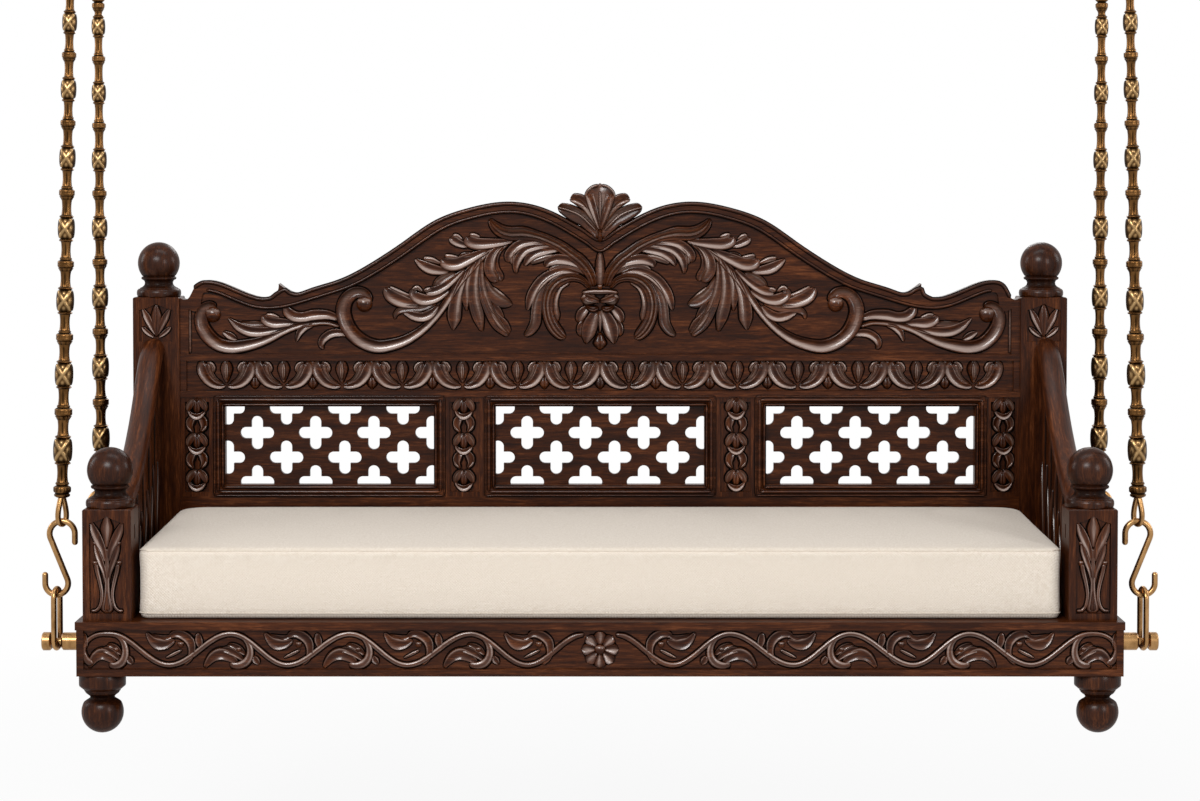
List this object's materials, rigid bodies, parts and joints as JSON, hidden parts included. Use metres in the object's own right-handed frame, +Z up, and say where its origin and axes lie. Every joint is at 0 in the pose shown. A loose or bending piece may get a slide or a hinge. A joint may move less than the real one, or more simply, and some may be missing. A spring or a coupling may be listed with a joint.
{
  "type": "jhoola swing bench",
  "caption": "Carved hardwood hanging swing bench with scrolled crest, pierced lattice back, curved arms, loose seat cushion and brass bead chains on hooks.",
  "frame": {"origin": "under the middle of the bench, level with the bottom of its feet", "axes": "+X to the right as seen from the front, +Y to the back, +Z up"},
  "size_m": [1.9934, 0.664, 1.4],
  "materials": {
    "rosewood": "dark polished hardwood, satin lacquer",
    "brass": "antique brass with darkened recesses",
    "linen": "woven cream linen"
  },
  "bodies": {
    "ceiling": {"ceiling_plates": "brass", "ceiling_staples": "brass"},
    "hanger_front_left": {"chain_front_left": "brass", "s_hook_front_left": "brass", "shackle_front_left": "brass"},
    "hanger_front_right": {"chain_front_right": "brass", "s_hook_front_right": "brass", "shackle_front_right": "brass"},
    "hanger_rear_left": {"chain_rear_left": "brass", "s_hook_rear_left": "brass", "shackle_rear_left": "brass"},
    "hanger_rear_right": {"chain_rear_right": "brass", "s_hook_rear_right": "brass", "shackle_rear_right": "brass"},
    "bench": {"arm_rail_left": "rosewood", "arm_rail_right": "rosewood", "back_bottom_rail": "rosewood", "back_mid_rail": "rosewood", "back_post_left": "rosewood", "back_post_right": "rosewood", "back_rail": "rosewood", "crest_base_rail": "rosewood", "crest_board": "rosewood", "crest_boss": "rosewood", "crest_fleuron": "rosewood", "crest_moulding": "rosewood", "cross_bearers": "rosewood", "finial_back_left": "rosewood", "finial_back_right": "rosewood", "finial_front_left": "rosewood", "finial_front_right": "rosewood", "foot_front_left": "rosewood", "foot_front_right": "rosewood", "foot_rear_left": "rosewood", "foot_rear_right": "rosewood", "frieze_board": "rosewood", "front_post_left": "rosewood", "front_post_right": "rosewood", "front_rail": "rosewood", "hanger_pin_front_left": "brass", "hanger_pin_front_right": "brass", "hanger_pin_rear_left": "brass", "hanger_pin_rear_right": "brass", "inner_stiles": "rosewood", "jali_centre": "rosewood", "jali_left": "rosewood", "jali_right": "rosewood", "leg_blocks": "rosewood", "outer_stiles": "rosewood", "panel_mouldings": "rosewood", "pin_nuts": "brass", "seat_ledge": "rosewood", "seat_slats": "rosewood", "side_panel_left": "rosewood", "side_panel_right": "rosewood", "side_rail_left": "rosewood", "side_rail_right": "rosewood"},
    "cushion": {"cushion": "linen"}
  },
  "joints": [
    {"name": "swing", "type": "hinge", "parent": "ceiling", "child": "hanger_front_left", "pos_m": [-0.91775, -0.24, 1.352], "axis": [1, 0, 0], "range_deg": [-20, 20]},
    {"name": "swing_front_right", "type": "hinge", "parent": "ceiling", "child": "hanger_front_right", "pos_m": [0.91775, -0.24, 1.352], "axis": [1, 0, 0], "range_deg": [-20, 20]},
    {"name": "swing_rear_left", "type": "hinge", "parent": "ceiling", "child": "hanger_rear_left", "pos_m": [-0.94875, 0.24, 1.352], "axis": [1, 0, 0], "range_deg": [-20, 20]},
    {"name": "swing_rear_right", "type": "hinge", "parent": "ceiling", "child": "hanger_rear_right", "pos_m": [0.94875, 0.24, 1.352], "axis": [1, 0, 0], "range_deg": [-20, 20]},
    {"name": "bench_level", "type": "hinge", "parent": "hanger_front_left", "child": "bench", "pos_m": [-0.94875, -0.24, 0.151], "axis": [1, 0, 0], "range_deg": [-20, 20]},
    {"name": "cushion_lift", "type": "slide", "parent": "bench", "child": "cushion", "axis": [0, 0, 1], "range_m": [0, 0.3]}
  ],
  "couplings": [
    {"joint": "swing_front_right", "follows": "swing", "ratio": 1},
    {"joint": "swing_rear_left", "follows": "swing", "ratio": 1},
    {"joint": "swing_rear_right", "follows": "swing", "ratio": 1},
    {"joint": "bench_level", "follows": "swing", "ratio": -1}
  ]
}
